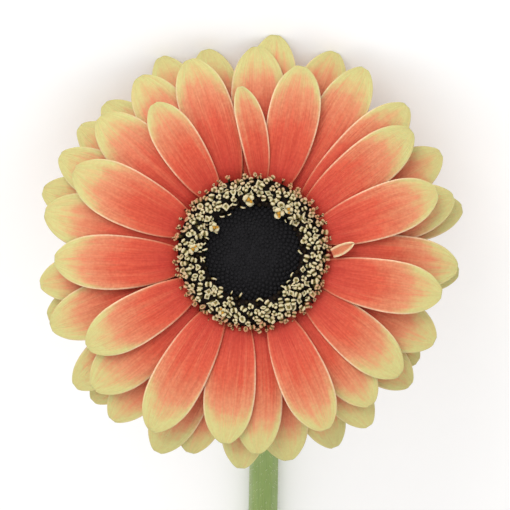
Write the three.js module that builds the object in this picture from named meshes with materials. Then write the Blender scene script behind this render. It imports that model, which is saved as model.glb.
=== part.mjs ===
// A cut gerbera: one large flower head on a leafless stem, lying on a table.
// The stem lies along +Y. Its neck curves up to the head, which leans back on the tips of its lowest petals.
// Millimetres, +Z up. The origin is on the table, under the middle of the whole flower's box.
import * as THREE from "three";

// ---- The head, in its own frame: +Z out of its face, +Y at twelve o'clock, +X at three o'clock ----

const FACE_ANGLE = 50; // degrees above the table at which the face looks up
const PETAL_THICKNESS = 0.42; // through the middle of a petal; its margins are thin
const PETAL_CROWN = 0.28; // how far the middle of a petal stands over its two margins
const PETAL_GAP = 0.15; // least clear height between one layer of petals and the next
const PETAL_WIDTH = 13; // widest place of an ordinary petal
const CLAW_STEP = 0.5; // how much further out the petals of each lower layer leave the receptacle
const WHORL_REACH = [48.5, 52.2, 54.2]; // from the axis to an ordinary tip: inner, middle, outer whorl
const WHORL_LAST_LAYER = [1, 3, 7]; // the lowest layer of each whorl
const LAYER_SPREAD = 0.031; // how much the layers fan apart with each millimetre from the axis
const ARCH_RISE = 2; // how far a petal rises from the rim of the eye to the crown of its arch
const ARCH_RADIUS = 32; // distance of that crown from the axis
const CLAW_DROP = 2.9; // how far a claw starts below the rim of the eye
const TIP_DROP = 3.6; // how far the arch falls again from its crown to the tip of the longest petal

const BUD_RADIUS = 11.7; // outer edge of the dark closed florets
const BUD_CROWN = 2.2; // top of the dark centre above the rim of the eye
const RING_WIDTH = 7.7; // the ring of open florets, where it spreads over the petals
const RING_FOOT = 1.8; // the same ring, where it stands on the receptacle
const RING_CROWN = 3.6; // top of the open florets above the rim of the eye
const RECEPTACLE_TOP = -3.6; // under the rim of the eye
const RECEPTACLE_DEPTH = 10.4; // from the top of the receptacle to the end of the stem
const CUP_THICKNESS = 0.8; // of each row of bracts
const CUP_HOLD = 0.8; // how far a row of bracts stands off the receptacle
const INNER_BRACT_TIP = 4.8; // how far the inner row of bracts reaches past the receptacle
const OUTER_BRACT_TIP = 1; // how far the outer row reaches past it
const FIT = 0.3; // clearance between pieces that grow against each other

const EYE_RADIUS = BUD_RADIUS + RING_WIDTH;
const RECEPTACLE_RADIUS = BUD_RADIUS + FIT + RING_FOOT;
const CLAW_RADIUS = RECEPTACLE_RADIUS + 2 * FIT; // where the petals of the top layer start

// ---- The stem, on the table ----

const STEM_LENGTH = 320; // along its curve, from the receptacle to the cut
const NECK_DIAMETER = 7.8;
const CUT_DIAMETER = 8.8;
const CUT_SLOPE = 45; // degrees of the slanted cut
const STEM_SHIFT = -3.6; // sideways place of the stem where it comes down on the table
const STEM_BOW = 11; // how far the lying stem bows sideways by its end
const TABLE_PRESS = 0.9; // how far the lowest petal tips are pushed up by the table
const TABLE_SAG = 1.4; // how far a tip near the table sags to meet it
const REST_GAP = 0.1; // clear height between a tip that sags and the petal it comes to rest on

// Petals: clock angle of the middle (degrees), length over the whorl's reach (mm),
// width over PETAL_WIDTH (mm), sway of the tip (degrees), layer (0 on top).
const PETALS = [
  [0.8, -7, -5.8, -5.2, 0],
  [17.3, -0.3, -0.1, -2.6, 1],
  [53.2, 1.7, -0.4, -0.6, 1],
  [72.6, 0.2, 0.3, -1, 0],
  [104.2, 0, 0.2, -2, 0],
  [128.6, -0.5, -0.4, 1, 1],
  [158, -0.5, -0.2, -0.5, 0],
  [189.4, -0.2, -0.2, -1.4, 1],
  [210.2, 2.7, 0, -0.7, 0],
  [240.1, -1, -0.4, 0, 0],
  [265.8, 1, 0.8, 2.3, 1],
  [293.6, 0.5, 1.2, 1.5, 0],
  [326, -4, -2, 0.5, 0],
  [2.6, -0.5, 0.8, -1.4, 3],
  [32.4, 2, -0.4, -0.9, 3],
  [47.2, 1.3, -0.4, -0.7, 2],
  [76, 0.3, 0.2, -1.4, 3],
  [93.4, -0.5, 0, 0.9, 2],
  [116, -1.2, 1, 0, 3],
  [140.8, -3.7, -0.4, 1.2, 2],
  [177.6, -1.7, -0.8, 1.2, 2],
  [229.3, 0.3, 1.2, 0, 2],
  [249.6, 1.8, 0.8, 0, 3],
  [280.4, 0.8, 1.6, 0.6, 2],
  [311.2, -1, 1, 0.3, 2],
  [327.6, 0.3, 0.6, -0.6, 3],
  [342.4, -1.3, 0.2, -0.6, 2],
  [6.6, 0.8, 0, -0.6, 4],
  [22.5, 0.5, 0.2, 0, 5],
  [63.8, -0.5, -0.2, -1.6, 4],
  [77.7, 0, -0.4, 0.4, 5],
  [96, -2, -0.6, -0.4, 4],
  [122.8, -4.2, -1, 0.6, 6],
  [130.2, -2.2, -0.2, -0.2, 5],
  [146.4, -1.5, -1, -0.4, 4],
  [156.6, -0.7, -0.6, 0.4, 6],
  [170.2, -1, 1, -0.2, 5],
  [182.6, 0.3, -0.6, 0.4, 4],
  [198, -1.2, -0.2, -0.8, 6],
  [205.2, 1.6, 0, 0.2, 5],
  [219.8, 0.8, -0.2, 0.2, 4],
  [227, 1, -1, 0, 7],
  [233.8, 2, -0.4, -0.9, 5],
  [252.6, 0, -0.6, 0, 6],
  [262, -0.2, 0, -0.6, 4],
  [286.8, 1, 0, -0.3, 5],
  [296.2, 0, 0, 0.6, 4],
  [306.3, -0.2, -0.6, -0.4, 6],
  [316.2, -1.2, -0.4, -1.2, 7],
  [335, 0.3, -0.8, -0.2, 5],
  [347.6, -1.7, -0.4, -0.6, 6],
];

// Stations along a petal from claw to tip: share of its length, share of its width.
const PETAL_OUTLINE = [
  [0, 0.2],
  [0.06, 0.36],
  [0.14, 0.57],
  [0.3, 0.82],
  [0.48, 0.96],
  [0.64, 1],
  [0.79, 0.92],
  [0.9, 0.7],
  [0.965, 0.43],
  [1, 0.12],
];

const SECTION_SHOULDER = 0.45; // share of the half width where a petal starts to thin towards its margin

// The one short strap-like floret that stands between the open florets and the petals.
const STRAP = { clock: 87.4, sway: -2.9, start: EYE_RADIUS + FIT, length: 5.9, width: 2.4, rise: 1.5 };

// Facets.
const ROUND_SEGMENTS = 32;
const STEM_SIDES = 12;
const NECK_STEPS = 8;
const LYING_STEPS = 14;

const { degToRad, smoothstep, lerp } = THREE.MathUtils;

function material(color, roughness) {
  return new THREE.MeshStandardMaterial({ color, roughness, metalness: 0 });
}

const PETAL_CORAL = material(0xdf6043, 0.55);
const PETAL_TIP = material(0xd9a76b, 0.55);
const FLORET_CREAM = material(0xd8cfa6, 0.6);
const BUD_DARK = material(0x1f1c20, 0.5);
const BRACT_GREEN = material(0x6d8146, 0.7);
const STEM_GREEN = material(0x7f9a55, 0.6);
const FLESH_GREEN = material(0xb9c08a, 0.7);

// ---- Helpers ----

// A closed solid through rings of equal point count. A ring runs clockwise as seen from the start.
function loft(rings) {
  const count = rings[0].length;
  const last = (rings.length - 1) * count;
  const index = [];
  for (let ring = 0; ring < rings.length - 1; ring++) {
    for (let i = 0; i < count; i++) {
      const a = ring * count + i;
      const b = ring * count + ((i + 1) % count);
      index.push(a, b, a + count, b, b + count, a + count);
    }
  }
  for (let i = 1; i < count - 1; i++) {
    index.push(0, i + 1, i);
    index.push(last, last + i, last + i + 1);
  }
  const geometry = new THREE.BufferGeometry().setFromPoints(rings.flat());
  geometry.setIndex(index);
  return geometry;
}

// A round solid from a profile of [radius, height] points. A lathe turns about Y: the flower's axis is Z.
function turned(points) {
  const profile = points.map(([radius, height]) => new THREE.Vector2(radius, height));
  return new THREE.LatheGeometry(profile, ROUND_SEGMENTS).rotateX(Math.PI / 2);
}

function piece(name, geometry, look) {
  const mesh = new THREE.Mesh(geometry, look);
  mesh.name = name;
  return mesh;
}

// ---- Petals ----

const longestReach = Math.max(...WHORL_REACH);

// Height of the top layer at a distance from the axis: up out of the claw, over an arch, down to the tip.
function archHeight(radius) {
  const claw = -CLAW_DROP * (1 - smoothstep(radius, CLAW_RADIUS - 1.5, EYE_RADIUS + 1));
  const rise = ARCH_RISE * smoothstep(radius, EYE_RADIUS - 2, ARCH_RADIUS);
  const beyond = Math.max(0, radius - ARCH_RADIUS) / (longestReach - ARCH_RADIUS);
  return claw + rise - TIP_DROP * beyond ** 2;
}

// Height between one layer and the next at a distance from the axis.
function layerStep(radius) {
  const closest = PETAL_THICKNESS + PETAL_GAP + 0.5 * PETAL_CROWN;
  return closest + LAYER_SPREAD * Math.max(0, radius - EYE_RADIUS);
}

// bend is the height that the table adds at the tip, against the tip's own droop.
function petalGeometry({ clock, sway, start, reach, width, height, bend }) {
  const centre = (share) => {
    const radius = lerp(start, reach, share);
    const angle = degToRad(clock + (sway * (share - 0.55)) / 0.45);
    const point = new THREE.Vector3(radius * Math.sin(angle), radius * Math.cos(angle), height(radius));
    point.z += bend * share ** 2;
    return point;
  };
  const rings = PETAL_OUTLINE.map(([share, widthShare]) => {
    const middle = centre(share);
    const before = centre(share - 0.02);
    const along = centre(share + 0.02).sub(before).normalize();
    const across = new THREE.Vector3(along.y, -along.x, 0).normalize();
    const up = new THREE.Vector3().crossVectors(across, along);
    const half = 0.5 * width * widthShare;
    const thin = 0.5 * PETAL_THICKNESS * (0.55 + 0.45 * widthShare);
    const crown = PETAL_CROWN * widthShare ** 2;
    const sag = -crown * SECTION_SHOULDER ** 2;
    const at = (side, lift) => middle.clone().addScaledVector(across, side * half).addScaledVector(up, lift);
    return [
      at(-1, -crown),
      at(-SECTION_SHOULDER, sag + thin),
      at(SECTION_SHOULDER, sag + thin),
      at(1, -crown),
      at(SECTION_SHOULDER, sag - thin),
      at(-SECTION_SHOULDER, sag - thin),
    ];
  });
  return loft(rings);
}

function petalShape([clock, longer, wider, sway, layer]) {
  const whorl = WHORL_LAST_LAYER.findIndex((lowest) => layer <= lowest);
  return {
    clock,
    sway,
    start: CLAW_RADIUS + CLAW_STEP * layer,
    reach: WHORL_REACH[whorl] + longer,
    width: PETAL_WIDTH + wider,
    height: (radius) => archHeight(radius) - layer * layerStep(radius),
    bend: 0,
    layer,
    whorl,
  };
}

// ---- The head's place: it leans back by FACE_ANGLE, its twelve o'clock down at the front ----

const head = new THREE.Group();
head.rotation.set(degToRad(90 - FACE_ANGLE), 0, Math.PI);
head.updateMatrixWorld(true);

function lowestPoint(geometry) {
  const placed = geometry.applyMatrix4(head.matrixWorld);
  placed.computeBoundingBox();
  return placed.boundingBox.min.z;
}

const petals = PETALS.map(petalShape);
const hanging = petals.map((petal) => lowestPoint(petalGeometry(petal)));
head.position.z = -Math.min(...hanging) - TABLE_PRESS;
head.updateMatrixWorld(true);

// Tips below the table are pushed up to it, and tips just above it sag down to it.
const slope = Math.sin(degToRad(FACE_ANGLE));
petals.forEach((petal) => {
  for (let pass = 0; pass < 4; pass++) {
    const lowest = lowestPoint(petalGeometry(petal));
    if (lowest < TABLE_SAG) petal.bend -= lowest / slope;
  }
});

// Least height between the top of one petal and the underside of another, at their corners.
function clearHeight(above, below) {
  const caster = new THREE.Raycaster();
  const gaps = [];
  const cast = (from, to, side) => {
    const corners = petalGeometry(from).attributes.position;
    const target = new THREE.Mesh(petalGeometry(to), PETAL_TIP);
    for (let i = 0; i < corners.count; i++) {
      const corner = new THREE.Vector3().fromBufferAttribute(corners, i);
      caster.set(corner.clone().setZ(side * longestReach), new THREE.Vector3(0, 0, -side));
      const [hit] = caster.intersectObject(target);
      if (hit) gaps.push(side * (corner.z - hit.point.z));
    }
  };
  cast(above, below, 1);
  cast(below, above, -1);
  return Math.min(...gaps);
}

// A tip that sags comes to rest on the petals below it.
for (const petal of petals.filter(({ bend }) => bend < 0)) {
  for (const other of petals.filter(({ layer }) => layer > petal.layer)) {
    petal.bend += Math.max(0, REST_GAP - clearHeight(petal, other));
  }
}

petals.forEach((petal, i) => {
  const name = `ray_floret_${String(i + 1).padStart(2, "0")}`;
  head.add(piece(name, petalGeometry(petal), petal.whorl === 2 ? PETAL_TIP : PETAL_CORAL));
});

// ---- The eye ----

const strap = {
  ...STRAP,
  reach: STRAP.start + STRAP.length,
  height: (radius) => archHeight(radius) + STRAP.rise,
  bend: 0,
};
head.add(piece("inner_ray_floret", petalGeometry(strap), FLORET_CREAM));

const floor = RECEPTACLE_TOP + FIT;
const buds = [
  [0, floor],
  [BUD_RADIUS, floor],
  [BUD_RADIUS, 0.5 * BUD_CROWN],
  [0.85 * BUD_RADIUS, 0.85 * BUD_CROWN],
  [0.5 * BUD_RADIUS, BUD_CROWN],
  [0, BUD_CROWN],
];
head.add(piece("closed_florets", turned(buds), BUD_DARK));

// The ring flares over the claws of the top layer.
const ringInside = BUD_RADIUS + FIT;
const overClaws = (radius) => archHeight(radius) + 0.5 * PETAL_THICKNESS + FIT;
const flare = [0, 0.35, 0.7, 1].map((share) => lerp(RECEPTACLE_RADIUS, EYE_RADIUS, share));
const ring = [
  [ringInside, floor],
  [RECEPTACLE_RADIUS, floor],
  ...flare.map((radius) => [radius, overClaws(radius)]),
  [EYE_RADIUS - FIT, 0.75 * RING_CROWN],
  [0.5 * (ringInside + EYE_RADIUS), RING_CROWN],
  [ringInside, 0.75 * RING_CROWN],
  [ringInside, floor],
];
head.add(piece("open_florets", turned(ring), FLORET_CREAM));

// ---- Behind the petals ----

// The receptacle's shoulder and the cups of bracts follow the underside of the lowest layer.
const lowestLayer = Math.max(...WHORL_LAST_LAYER);
const neckRadius = 0.5 * NECK_DIAMETER;
const receptacleBase = RECEPTACLE_TOP - RECEPTACLE_DEPTH;
const shoulderRadius = CLAW_RADIUS + CLAW_STEP * lowestLayer - FIT;
const petalDepth = PETAL_THICKNESS + PETAL_CROWN;
const underPetals = (radius) => archHeight(radius) - lowestLayer * layerStep(radius) - petalDepth;
const shoulder = underPetals(shoulderRadius) - FIT;
const waistRadius = 0.7 * shoulderRadius;
const waist = lerp(shoulder, receptacleBase, 0.6);
const receptacle = [
  [0, receptacleBase],
  [neckRadius + CUP_HOLD, receptacleBase],
  [waistRadius, waist],
  [shoulderRadius, shoulder],
  [RECEPTACLE_RADIUS, shoulder],
  [RECEPTACLE_RADIUS, RECEPTACLE_TOP],
  [0, RECEPTACLE_TOP],
];
head.add(piece("receptacle", turned(receptacle), FLESH_GREEN));

// A cup is a shell whose inner face runs through the given points.
function cup(inner) {
  const outer = inner.map(([radius, height]) => [radius, height - CUP_THICKNESS]).reverse();
  return turned([...inner, ...outer, inner[0]].reverse());
}

const innerTip = shoulderRadius + INNER_BRACT_TIP;
const innerRim = underPetals(innerTip) - FIT;
const innerCup = [
  [waistRadius + FIT, waist - CUP_HOLD],
  [shoulderRadius + FIT, shoulder - CUP_HOLD],
  [innerTip, innerRim],
];
head.add(piece("inner_bracts", cup(innerCup), BRACT_GREEN));

const underCup = -CUP_HOLD - CUP_THICKNESS - FIT;
const outerCup = [
  [neckRadius + FIT, receptacleBase - FIT],
  [waistRadius + FIT, waist + underCup],
  [shoulderRadius + OUTER_BRACT_TIP, shoulder + underCup],
];
head.add(piece("outer_bracts", cup(outerCup), BRACT_GREEN));

// ---- The stem ----

// The neck is an arc from the receptacle, at the head's own slope, down to the table.
function stemGeometry() {
  const top = head.localToWorld(new THREE.Vector3(0, 0, receptacleBase - FIT - CUP_THICKNESS));
  const slant = degToRad(FACE_ANGLE);
  const bendRadius = (top.z - 0.5 * NECK_DIAMETER) / (1 - Math.cos(slant));
  const neckLength = bendRadius * slant;
  const lying = STEM_LENGTH - neckLength;
  const foot = top.y + bendRadius * Math.sin(slant);

  const radiusAt = (length) => 0.5 * lerp(NECK_DIAMETER, CUT_DIAMETER, length / STEM_LENGTH);
  const middle = (length) => {
    const share = length / STEM_LENGTH;
    const x = STEM_SHIFT * smoothstep(length, 0, neckLength) + STEM_BOW * share ** 3;
    if (length >= neckLength) {
      return new THREE.Vector3(x, foot + length - neckLength, radiusAt(length));
    }
    const angle = slant * (1 - length / neckLength);
    const rise = radiusAt(length) + bendRadius * (1 - Math.cos(angle));
    return new THREE.Vector3(x, foot - bendRadius * Math.sin(angle), rise);
  };

  const lengths = [];
  for (let i = 0; i < NECK_STEPS; i++) lengths.push((neckLength * i) / NECK_STEPS);
  for (let i = 0; i <= LYING_STEPS; i++) lengths.push(neckLength + (lying * i) / LYING_STEPS);

  const rings = lengths.map((length, station) => {
    const along = middle(length + 0.5).sub(middle(length - 0.5)).normalize();
    const across = new THREE.Vector3(1, 0, 0).addScaledVector(along, -along.x).normalize();
    const up = new THREE.Vector3().crossVectors(across, along);
    const isCut = station === lengths.length - 1;
    const ringPoints = [];
    for (let i = 0; i < STEM_SIDES; i++) {
      const turn = (2 * Math.PI * i) / STEM_SIDES;
      const side = radiusAt(length) * Math.cos(turn);
      const rise = radiusAt(length) * Math.sin(turn);
      const point = middle(length).addScaledVector(across, side).addScaledVector(up, rise);
      if (isCut) point.addScaledVector(along, -(rise + radiusAt(length)) * Math.tan(degToRad(CUT_SLOPE)));
      ringPoints.push(point);
    }
    return ringPoints.reverse();
  });
  return loft(rings);
}

const stem = piece("stem", stemGeometry(), STEM_GREEN);

// ---- The whole flower, its origin on the table under the middle of its box ----

const flower = new THREE.Group();
flower.add(head, stem);
flower.updateMatrixWorld(true);
const extent = new THREE.Box3().setFromObject(flower, true);
const centre = extent.getCenter(new THREE.Vector3());
flower.position.set(-centre.x, -centre.y, -extent.min.z);

const gerbera = new THREE.Group();
gerbera.name = "cut_gerbera";
gerbera.add(flower);

export default gerbera;
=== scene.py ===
"""A cut gerbera lying on a table: its petals, florets, bracts and stem, modelled round the fixed CAD frame.

Every object is in metres. "Head space" is the flower head's own frame: X at three o'clock, Y at twelve
o'clock and Z out of the face, with its origin on the head's axis where the disc florets stand on the
receptacle.
"""

import math

import bmesh
import bpy
import numpy as np
from bpy.props import FloatProperty, FloatVectorProperty, IntProperty, PointerProperty
from mathutils import Matrix, Quaternion, Vector


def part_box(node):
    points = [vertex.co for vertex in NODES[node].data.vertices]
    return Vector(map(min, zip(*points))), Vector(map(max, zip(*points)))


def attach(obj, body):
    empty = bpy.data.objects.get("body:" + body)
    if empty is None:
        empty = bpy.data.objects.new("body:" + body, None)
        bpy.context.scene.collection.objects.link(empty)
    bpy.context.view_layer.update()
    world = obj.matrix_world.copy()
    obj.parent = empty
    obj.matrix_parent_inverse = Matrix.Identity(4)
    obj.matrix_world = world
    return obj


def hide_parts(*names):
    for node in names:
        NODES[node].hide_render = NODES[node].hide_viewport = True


bl_info = {
    "name": "Cut Gerbera",
    "version": (1, 0, 0),
    "blender": (4, 5, 0),
    "location": "View3D > Sidebar > Gerbera",
    "description": "Models a cut gerbera, lying down, round its CAD frame",
    "category": "Object",
}

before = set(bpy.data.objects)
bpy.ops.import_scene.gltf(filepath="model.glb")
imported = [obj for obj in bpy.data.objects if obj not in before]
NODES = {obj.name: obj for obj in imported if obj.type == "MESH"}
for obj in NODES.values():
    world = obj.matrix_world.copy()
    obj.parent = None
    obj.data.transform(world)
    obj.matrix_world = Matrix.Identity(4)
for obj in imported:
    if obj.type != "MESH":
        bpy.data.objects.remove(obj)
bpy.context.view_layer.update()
MM = 0.001
FACETS_MEET = 1e-6  # corners this close are one corner
RAY_NODES = sorted(name for name in NODES if name.startswith("ray_floret_"))
GOLDEN_ANGLE = math.pi * (3 - math.sqrt(5))


# ---- Measuring the frame ----


def merged(name):
    """The corners of a CAD node, each once, and the pairs of corners that its edges join."""
    bm = bmesh.new()
    bm.from_mesh(NODES[name].data)
    bmesh.ops.remove_doubles(bm, verts=bm.verts, dist=FACETS_MEET)
    bm.verts.index_update()
    corners = np.array([v.co for v in bm.verts])
    edges = np.array([[v.index for v in e.verts] for e in bm.edges])
    bm.free()
    return corners, edges


def head_space():
    """The matrix from head space to the world: the discs and cups are round about the head's axis."""
    disc = merged("closed_florets")[0]
    front = Vector(disc.mean(axis=0))
    back = Vector(merged("outer_bracts")[0].mean(axis=0))
    face = (front - back).normalized()
    three = Vector((-1, 0, 0))
    three = (three - face * three.dot(face)).normalized()
    twelve = face.cross(three)
    rotation = Matrix((three, twelve, face)).transposed()
    floor = (disc @ np.array(face)).min()
    origin = front + face * (floor - front.dot(face))
    return Matrix.Translation(origin) @ rotation.to_4x4()


HEAD = head_space()
TO_HEAD = HEAD.inverted()


def in_head(corners):
    """Corners in head space."""
    return corners @ np.array(TO_HEAD.to_3x3()).T + np.array(TO_HEAD.translation)


def section(corners, edges, point, normal):
    """Where a plane cuts the edges of a node."""
    height = (corners - point) @ normal
    a, b = height[edges[:, 0]], height[edges[:, 1]]
    cut = (a <= 0) != (b <= 0)
    share = (a[cut] / (a[cut] - b[cut]))[:, None]
    start, end = corners[edges[cut, 0]], corners[edges[cut, 1]]
    return start + (end - start) * share


def radial_profile(name):
    """The half section of a round node in head space, as rows of radius and height, from the axis out."""
    corners = in_head(merged(name)[0])
    rows = np.column_stack((np.hypot(corners[:, 0], corners[:, 1]), corners[:, 2]))
    rows = np.unique(np.round(rows, 5), axis=0)
    return rows[np.argsort(rows[:, 0])]


def smooth_curve(stations, values):
    """A smooth function through values at stations: a cubic with Catmull-Rom slopes."""
    stations, values = np.asarray(stations, float), np.asarray(values, float)
    slopes = np.gradient(values, stations, axis=0)

    def at(x):
        i = int(np.clip(np.searchsorted(stations, x) - 1, 0, len(stations) - 2))
        span = stations[i + 1] - stations[i]
        t = (x - stations[i]) / span
        rise = (2 * t**3 - 3 * t**2 + 1) * values[i] + (3 * t**2 - 2 * t**3) * values[i + 1]
        turn = (t**3 - 2 * t**2 + t) * slopes[i] + (t**3 - t**2) * slopes[i + 1]
        return rise + turn * span

    return at


def smoothstep(x, low, high):
    """0 below low, 1 above high, and smooth between them."""
    t = min(1.0, max(0.0, (x - low) / (high - low)))
    return t * t * (3 - 2 * t)


class Wave:
    """A smooth wave about zero, made of three sines, never much over one."""

    def __init__(self, rng, turns):
        self.turns = [turns * k * rng.uniform(0.8, 1.2) for k in (1, 1.9, 3.1)]
        self.phases = rng.uniform(0, 2 * math.pi, 3)

    def __call__(self, x):
        parts = zip(self.turns, self.phases, (0.6, 0.3, 0.15))
        return sum(size * math.sin(2 * math.pi * turns * x + phase) for turns, phase, size in parts)


# ---- Sizes and colours that a user would change ----


def length(name, description, default_mm):
    default = default_mm * MM
    return FloatProperty(name=name, description=description, default=default, unit="LENGTH", precision=5)


def angle(name, description, default_degrees):
    default = math.radians(default_degrees)
    return FloatProperty(name=name, description=description, default=default, subtype="ANGLE")


def colour(name, description, red, green, blue):
    """A colour given as it shows on a screen, 0 to 255."""
    linear = [((c / 255 + 0.055) / 1.055) ** 2.4 if c > 10 else c / 3294.6 for c in (red, green, blue)]
    return FloatVectorProperty(
        name=name, description=description, default=linear, subtype="COLOR", size=3, min=0, max=1
    )


class GerberaSizes(bpy.types.PropertyGroup):
    blade: length("Petal blade", "Thickness of a petal", 0.3)
    furrow: length("Furrows", "Depth of the furrows along a petal", 0.09)
    ruffle: length("Ruffle", "How far a petal's margin waves", 0.16)
    lean: angle("Lean", "Most that a petal rolls to one side", 3)
    floret: length("Floret", "Width of an open floret's lips", 1.95)
    bud: length("Bud", "Width of a closed floret", 1.15)
    bract: length("Bract", "Width of a bract", 3.6)
    rib: length("Stem ribs", "Height of the ribs on the stem", 0.12)
    hair: length("Hairs", "Length of the hairs on the stem", 0.9)
    hairs: IntProperty(name="Hair count", description="Number of hairs on the stem", default=2600, min=0)


class GerberaColours(bpy.types.PropertyGroup):
    coral: colour("Coral", "Petal by the eye", 187, 47, 32)
    flesh: colour("Flesh", "Middle of a petal", 206, 86, 56)
    peach: colour("Peach", "Petal where the coral fades", 210, 138, 97)
    tip: colour("Tip", "Tip of a petal", 196, 191, 124)
    rim: colour("Rim", "Margin of a petal", 236, 202, 166)
    back: colour("Back", "Underside of a petal", 226, 178, 138)
    cream: colour("Cream", "Lips of the open florets", 207, 195, 158)
    olive: colour("Olive", "Mouths of the open florets", 126, 112, 62)
    blush: colour("Blush", "Tips of the outermost florets", 196, 138, 104)
    gold: colour("Gold", "Pollen", 186, 130, 34)
    # Painted shade in the depths inside and between the open florets and in the middle of the stem's cut;
    # also the dark colour of the closed florets in the ring.
    shade_and_dark_buds: colour("Throat", "Depths between the florets", 20, 10, 6)
    eye: colour("Eye", "Closed florets", 29, 28, 30)
    leaf: colour("Bract", "Bracts", 96, 118, 60)
    stem: colour("Stem", "Stem", 128, 152, 78)
    pith: colour("Pith", "Inside of the cut stem", 214, 218, 170)
    floor: colour("Table", "Table top", 249, 248, 247)


def sizes():
    return bpy.context.scene.gerbera_sizes


def colours():
    return bpy.context.scene.gerbera_colours


# ---- Materials ----


def add(tree, kind, inputs=None, **settings):
    """A new node. An input is given a value, or the socket that feeds it."""
    node = tree.nodes.new(kind)
    for key, value in settings.items():
        setattr(node, key, value)
    for key, value in (inputs or {}).items():
        if isinstance(value, bpy.types.NodeSocket):
            tree.links.new(value, node.inputs[key])
        else:
            node.inputs[key].default_value = value
    return node


def maths(tree, operation, a, b=0.0, c=0.0):
    return add(tree, "ShaderNodeMath", {0: a, 1: b, 2: c}, operation=operation).outputs[0]


def mixed(tree, share, a, b, blend="MIX"):
    """Colour a turned into colour b by a share."""
    a = a if isinstance(a, bpy.types.NodeSocket) else (*a, 1)
    b = b if isinstance(b, bpy.types.NodeSocket) else (*b, 1)
    node = add(tree, "ShaderNodeMix", data_type="RGBA", blend_type=blend)
    for socket, value in zip((node.inputs[0], node.inputs[6], node.inputs[7]), (share, a, b)):
        if isinstance(value, bpy.types.NodeSocket):
            tree.links.new(value, socket)
        else:
            socket.default_value = value
    return node.outputs[2]


def between(tree, value, low, high, most=1.0):
    """0 below low, most above high, and smooth between them."""
    inputs = {"Value": value, "From Min": low, "From Max": high, "To Max": most}
    return add(tree, "ShaderNodeMapRange", inputs, interpolation_type="SMOOTHSTEP").outputs[0]


def graded(tree, value, stops):
    """A colour ramp through (place, colour) stops."""
    node = add(tree, "ShaderNodeValToRGB", {"Fac": value})
    elements = node.color_ramp.elements
    while len(elements) < len(stops):
        elements.new(0.5)
    for element, (place, shade) in zip(elements, stops):
        element.position = place
        element.color = (*shade, 1)
    return node.outputs[0]


def attribute(tree, name, output="Fac"):
    node = add(tree, "ShaderNodeAttribute", attribute_name=name, attribute_type="GEOMETRY")
    return node.outputs[output]


def on_blade(tree):
    """A point's place on its blade, and the two parts of it that run across and along."""
    place = attribute(tree, "blade", "Vector")
    across, along, _ = add(tree, "ShaderNodeSeparateXYZ", {0: place}).outputs
    return place, across, along


def new_group(name, inputs, outputs):
    """A shader node group with named value or vector sockets."""
    group = bpy.data.node_groups.new(name, "ShaderNodeTree")
    kinds = {"value": "NodeSocketFloat", "vector": "NodeSocketVector"}
    for socket, kind in inputs.items():
        group.interface.new_socket(socket, in_out="INPUT", socket_type=kinds[kind])
    for socket, kind in outputs.items():
        group.interface.new_socket(socket, in_out="OUTPUT", socket_type=kinds[kind])
    return group, group.nodes.new("NodeGroupInput").outputs, group.nodes.new("NodeGroupOutput").inputs


def streaks_group():
    """Fibres along a blade: "Place" is across, along and a number of the blade's own."""
    name = "Blade streaks"
    if name in bpy.data.node_groups:
        return bpy.data.node_groups[name]
    inputs = {"Place": "vector", "Across": "value", "Along": "value"}
    group, given, made = new_group(name, inputs, {"Streak": "value"})
    place = add(group, "ShaderNodeSeparateXYZ", {0: given["Place"]})
    across = maths(group, "MULTIPLY", place.outputs[0], given["Across"])
    along = maths(group, "MULTIPLY", place.outputs[1], given["Along"])
    stretched = add(group, "ShaderNodeCombineXYZ", {0: across, 1: along, 2: place.outputs[2]})
    noise = add(group, "ShaderNodeTexNoise", {"Vector": stretched.outputs[0], "Scale": 1.0, "Detail": 3.0})
    group.links.new(noise.outputs["Fac"], made["Streak"])
    return group


def streaks(tree, place, across, along):
    node = add(tree, "ShaderNodeGroup", node_tree=streaks_group())
    tree.links.new(place, node.inputs["Place"])
    node.inputs["Across"].default_value = across
    node.inputs["Along"].default_value = along
    return node.outputs["Streak"]


def mottle_group():
    """Soft patches of light and dark on Object coordinates."""
    name = "Mottle"
    if name in bpy.data.node_groups:
        return bpy.data.node_groups[name]
    group, given, made = new_group(name, {"Patches per metre": "value"}, {"Mottle": "value"})
    place = add(group, "ShaderNodeTexCoord").outputs["Object"]
    noise = add(group, "ShaderNodeTexNoise", {"Vector": place, "Detail": 4.0, "Scale": given[0]})
    group.links.new(noise.outputs["Fac"], made[0])
    return group


def mottle(tree, patches):
    node = add(tree, "ShaderNodeGroup", node_tree=mottle_group())
    node.inputs[0].default_value = patches
    return node.outputs[0]


DULLING = 0.3  # how much rougher a skin is at the top of its bumps than at the bottom
FLESH_DEPTH = 0.6 * MM  # how far light spreads inside the flesh


def surface(name, build, roughness, sheen=0.0, subsurface=0.0, shine=0.3):
    """A material. build(tree, hue) gives its colour, its bumps and their depth."""
    if name in bpy.data.materials:
        return bpy.data.materials[name]
    material = bpy.data.materials.new(name)
    material.use_nodes = True
    tree = material.node_tree
    shader = tree.nodes["Principled BSDF"]
    shade, height, depth = build(tree, colours())
    tree.links.new(shade, shader.inputs["Base Color"])
    dullness = maths(tree, "MULTIPLY_ADD", height, DULLING, roughness - 0.5 * DULLING)
    tree.links.new(dullness, shader.inputs["Roughness"])
    shader.inputs["Specular IOR Level"].default_value = shine
    shader.inputs["Sheen Weight"].default_value = sheen
    shader.inputs["Subsurface Weight"].default_value = subsurface
    shader.inputs["Subsurface Scale"].default_value = FLESH_DEPTH
    bump = add(tree, "ShaderNodeBump", {"Height": height, "Distance": depth, "Strength": 1.0})
    tree.links.new(bump.outputs[0], shader.inputs["Normal"])
    return material


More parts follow.
